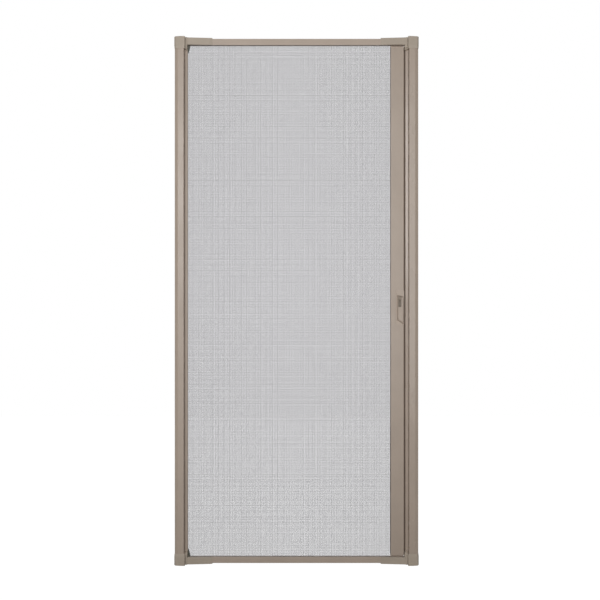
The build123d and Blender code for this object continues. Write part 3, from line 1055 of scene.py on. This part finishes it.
@dataclass
class HandleParts:
    """What the handles carry: the front slot's darker liner, which paints the recess's shade, the
    slide's ribs and the back screws.
    """

    liner: float = 0.2 * MM
    slot_gap: float = 0.5 * MM
    travel: float = 14.0 * MM
    slide_rise: float = 1.5 * MM
    slot_depth: float = 9.0 * MM
    rib_radius: float = 0.35 * MM
    rib_pitch: float = 2.6 * MM
    rib_share: float = 0.62
    rib_sides: int = 10
    ribs: int = 5
    scoop_radius: float = 34.0 * MM
    scoop_depth: float = 2.5 * MM
    plate: float = 2.6 * MM
    screw_inset: float = 8.0 * MM
    head_radius: float = 3.2 * MM
    head_height: float = 1.5 * MM
    head_sides: int = 32
    head_round: float = 0.55
    recess_width: float = 0.13
    recess_reach: float = 0.5
    recess_depth: float = 0.6
    crown_share: float = 0.99

    def build(self, shop: Workshop) -> None:
        """Build all three.

        Args:
            shop: The workshop.
        """
        self.slot_shade_liner(shop)
        self.slide_ribs(shop)
        self.screws(shop)

    def slot_shade_liner(self, shop: Workshop) -> bpy.types.Object:
        """Build the open tray that lines the slide's slot, darker than the handle so that it paints
        shade into the recess.

        Args:
            shop: The workshop.

        Returns:
            The piece.
        """
        low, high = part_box("thumb_latch")
        gap = Vector((self.slot_gap, 0, self.slot_gap))
        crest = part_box("handle_front")[0].y
        outer_low = Vector((low.x, crest + self.slide_rise, low.z)) - gap
        outer_high = Vector((high.x, crest + self.slot_depth, high.z + self.travel)) + gap
        mesh = bmesh.new()
        brick(mesh, outer_low, outer_high)
        front = min(mesh.faces, key=lambda face: face.calc_center_median().y)
        bmesh.ops.delete(mesh, geom=[front], context="FACES_ONLY")
        bmesh.ops.solidify(mesh, geom=mesh.faces[:], thickness=self.liner)
        bmesh.ops.recalc_face_normals(mesh, faces=mesh.faces)
        return shop.piece("slot_shade_liner", mesh, "slot_shade_plastic", Body.SLIDE_BAR, "latch_plastic")

    def slide_ribs(self, shop: Workshop) -> bpy.types.Object:
        """Build the ribs across the slide's scoop.

        Args:
            shop: The workshop.

        Returns:
            The piece.
        """
        low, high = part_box("thumb_latch")
        middle = (low + high) / 2
        length = Vector(((high.x - low.x) * self.rib_share, 0, 0))
        mesh = bmesh.new()
        for index in range(self.ribs):
            rise = (index - (self.ribs - 1) / 2) * self.rib_pitch
            sag = self.scoop_radius - math.sqrt(self.scoop_radius ** 2 - rise ** 2)
            place = Vector((middle.x, low.y + self.scoop_depth - sag, middle.z + rise))
            rod(mesh, place, length, (self.rib_radius, self.rib_radius), self.rib_sides)
        for face in mesh.faces:
            face.smooth = len(face.verts) == 4
        return shop.piece("slide_ribs", mesh, "latch_plastic", Body.THUMB_LATCH, "latch_plastic")

    def screws(self, shop: Workshop) -> bpy.types.Object:
        """Build the two cross-recessed screws through the back handle's plate.

        Args:
            shop: The workshop.

        Returns:
            The piece.
        """
        low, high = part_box("handle_back")
        plate = low.y + self.plate
        mesh = bmesh.new()
        for height in (low.z + self.screw_inset, high.z - self.screw_inset):
            self.screw(mesh, Vector(((low.x + high.x) / 2, plate, height)))
        return shop.piece("back_handle_screws", mesh, "screw_metal", Body.SLIDE_BAR, "roller_metal")

    def screw(self, mesh: bmesh.types.BMesh, foot: Vector) -> None:
        """Add one pan-head screw that faces back.

        Args:
            mesh: The bmesh that it is added to.
            foot: The middle of its seat.
        """
        head = bmesh.new()
        way = Vector((0, 0, self.head_height))
        rod(head, way / 2, way, (self.head_radius, self.head_radius), self.head_sides)
        rim = [
            edge for edge in head.edges
            if min(vert.co.z for vert in edge.verts) > self.head_height / 2
        ]
        bmesh.ops.bevel(
            head, geom=rim, offset=self.head_height * self.head_round, affect="EDGES", segments=3,
            profile=0.5, material=-1,
        )
        arm, reach = self.head_radius * self.recess_width, self.head_radius * self.recess_reach
        for offset in (-reach, -arm, arm, reach):
            for side in ((1, 0, 0), (0, 1, 0)):
                geom = head.verts[:] + head.edges[:] + head.faces[:]
                bmesh.ops.bisect_plane(
                    head, geom=geom, plane_co=Vector(side) * offset, plane_no=side,
                )
        cross = []
        for face in head.faces:
            centre = face.calc_center_median()
            near, far = sorted((abs(centre.x), abs(centre.y)))
            if centre.z > self.head_height * self.crown_share and near < arm and far < reach:
                cross.append(face)
        sunk = bmesh.ops.extrude_face_region(head, geom=cross)["geom"]
        verts = [item for item in sunk if isinstance(item, bmesh.types.BMVert)]
        bmesh.ops.translate(
            head, vec=(0, 0, -self.head_height * self.recess_depth), verts=verts,
        )
        bmesh.ops.delete(head, geom=cross, context="FACES_ONLY")
        seat = Matrix.Translation(foot) @ Matrix.Rotation(-math.pi / 2, 4, "X")
        bmesh.ops.transform(head, matrix=seat, verts=head.verts)
        data = bpy.data.meshes.new("screw")
        head.to_mesh(data)
        head.free()
        mesh.from_mesh(data)
        bpy.data.meshes.remove(data)


@dataclass(frozen=True)
class SoftBox:
    """A soft area light."""

    name: str
    place: Triple
    width: float
    height: float
    power: float

    def build(self, target: Vector) -> None:
        """Hang the light.

        Args:
            target: What it points at.
        """
        data = bpy.data.lights.new(self.name, "AREA")
        data.shape = "RECTANGLE"
        data.size, data.size_y = self.width, self.height
        data.energy = self.power
        light = bpy.data.objects.new(self.name, data)
        bpy.context.scene.collection.objects.link(light)
        light.location = self.place
        way = target - Vector(self.place)
        light.rotation_euler = way.to_track_quat("-Z", "Y").to_euler()
        light.visible_camera = False


@dataclass
class Studio:
    """The photograph's camera, soft lights, a pale floor and a white background."""

    photo_side: float = 600.0
    photo_middle: tuple[float, float] = (296.5, 300.95)
    photo_scale: float = 3.876 * MM
    distance: float = 2.8
    sensor: float = 36.0
    boxes: tuple[SoftBox, ...] = (
        SoftBox("key", (-0.95, -2.85, 1.95), 0.8, 1.5, 16.5),
        SoftBox("panel", (0.0, -3.4, 1.45), 2.1, 2.6, 38.0),
    )
    aim_rise: float = 0.3
    behind: float = 1.0
    beside: float = 0.18
    front: float = 0.60
    above: float = 0.7
    front_band: Band = (-0.98, -0.75)
    behind_band: Band = (0.0, 0.6)
    height_band: Band = (0.1, 0.9)
    sky: Colour = (0.97, 0.98, 1.0)
    floor_side: float = 7.0
    floor_gap: float = 0.5 * MM
    floor_colour: Colour = (0.45, 0.45, 0.45)
    floor_roughness: float = 0.9
    floor_glow: float = 1.13
    glow_share: float = 0.9

    def camera(self, low: Vector, high: Vector) -> None:
        """Place the camera so that the caps' front faces have the photograph's scale and place.

        Args:
            low: The object's lowest corner.
            high: The object's highest corner.
        """
        data = bpy.data.cameras.new("camera")
        data.sensor_width = self.sensor
        data.lens = self.sensor * self.distance / (self.photo_side * self.photo_scale)
        camera = bpy.data.objects.new("camera", data)
        bpy.context.scene.collection.objects.link(camera)
        right = (self.photo_side / 2 - self.photo_middle[0]) * self.photo_scale
        up = (self.photo_middle[1] - self.photo_side / 2) * self.photo_scale
        camera.location = (
            (low.x + high.x) / 2 + right, low.y - self.distance, (low.z + high.z) / 2 + up,
        )
        camera.rotation_euler = (math.pi / 2, 0, 0)
        bpy.context.scene.camera = camera

    def background(self) -> None:
        """Make a white background that lights the object most from behind, least from its sides."""
        world = bpy.data.worlds.new("studio")
        world.use_nodes = True
        bpy.context.scene.world = world
        tree = ShaderTree(world.node_tree)
        soft = world.node_tree.nodes["Background"]
        place = tree.add("ShaderNodeTexCoord").outputs["Generated"]
        way = tree.add("ShaderNodeSeparateXYZ", {0: place}).outputs
        near = tree.spread(way["Y"], *self.front_band, self.front, self.beside)
        far = tree.spread(way["Y"], *self.behind_band, 0.0, self.behind - self.beside)
        height = tree.spread(way["Z"], *self.height_band, 1.0, self.above)
        strength = tree.math("MULTIPLY", tree.math("ADD", near, far), height)
        soft.inputs["Color"].default_value = (*self.sky, 1.0)
        tree.join(strength, soft, "Strength")
        white = tree.add("ShaderNodeBackground", {"Color": (1.0, 1.0, 1.0, 1.0), "Strength": 1.0})
        seen = tree.add("ShaderNodeLightPath").outputs["Is Camera Ray"]
        both = tree.add("ShaderNodeMixShader", {0: seen, 1: soft.outputs[0], 2: white.outputs[0]})
        tree.join(both.outputs[0], world.node_tree.nodes["World Output"], "Surface")

    def floor(self, height: float) -> None:
        """Lay a pale floor under the object.

        Args:
            height: The floor's height.
        """
        mesh = bmesh.new()
        bmesh.ops.create_grid(
            mesh, x_segments=1, y_segments=1, size=self.floor_side / 2,
            matrix=Matrix.Translation((0, 0, height)),
        )
        data = bpy.data.meshes.new("floor")
        mesh.to_mesh(data)
        mesh.free()
        floor = bpy.data.objects.new("floor", data)
        bpy.context.scene.collection.objects.link(floor)
        material, tree, shader = new_material("pale_floor")
        shader.inputs["Base Color"].default_value = (*self.floor_colour, 1.0)
        shader.inputs["Roughness"].default_value = self.floor_roughness
        feeds = {"Color": (1.0, 1.0, 1.0, 1.0), "Strength": self.floor_glow}
        glow = tree.add("ShaderNodeEmission", feeds)
        seen = tree.add("ShaderNodeLightPath").outputs["Is Camera Ray"]
        share = tree.math("MULTIPLY", seen, self.glow_share)
        feeds = {0: share, 1: shader.outputs[0], 2: glow.outputs[0]}
        both = tree.add("ShaderNodeMixShader", feeds)
        tree.join(both.outputs[0], material.node_tree.nodes["Material Output"], "Surface")
        data.materials.append(material)
        floor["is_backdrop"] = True

    def build(self) -> None:
        """Set up the studio round the object."""
        low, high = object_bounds()
        self.camera(Vector(low), Vector(high))
        middle = (Vector(low) + Vector(high)) / 2
        for box in self.boxes:
            box.build(Vector((middle.x, 0, middle.z + self.aim_rise)))
        self.background()
        self.floor(low[2] - self.floor_gap)
        bpy.context.scene.view_settings.view_transform = "Standard"


RIGID_FINISHES = {
    "housing_cover": "frame_paint",
    "jamb_cover": "jamb_paint",
    "housing_rail": "rail_paint",
    "jamb_rail": "rail_paint",
    "top_track": "track_paint",
    "bottom_track": "track_paint",
    "cap_top_left": "cap_plastic",
    "cap_top_right": "cap_plastic",
    "cap_bottom_left": "cap_plastic",
    "cap_bottom_right": "cap_plastic",
    "guide_top": "guide_plastic",
    "guide_bottom": "guide_plastic",
    "jamb_magnet": "magnet",
    "bar_magnet": "magnet",
    "slide_bar": "bar_paint",
    "mesh_spline": "spline",
    "shoe_top": "shoe_plastic",
    "shoe_bottom": "shoe_plastic",
    "handle_front": "handle_plastic",
    "handle_back": "handle_plastic",
    "thumb_latch": "latch_plastic",
    "roller_tube": "roller_metal",
    "roller_plug_top": "plug_plastic",
    "roller_plug_bottom": "plug_plastic",
}

BRUSH_FEET = {
    "housing_pile_front": 1.6 * MM,
    "housing_pile_back": 0.0,
    "top_pile_front": 0.0,
    "top_pile_back": 0.0,
    "bottom_pile_front": 0.0,
    "bottom_pile_back": 0.0,
}


def main() -> None:
    """Dress the frame, build the pieces around it and set up the studio."""
    logging.basicConfig(level=logging.INFO, format="%(name)s: %(message)s")
    wardrobe = Wardrobe()
    shop = Workshop(frame, wardrobe)
    for node, finish in RIGID_FINISHES.items():
        wardrobe.dress(frame["nodes"][node], finish)
    screen = InsectScreen()
    screen.build(shop)
    ScreenRoll().build(shop, -screen.slot_reach)
    brush = BrushSeal()
    for node, inset in BRUSH_FEET.items():
        brush.build(shop, node, inset)
    HandleParts().build(shop)
    Studio().build()


if __name__ == "__main__":
    main()
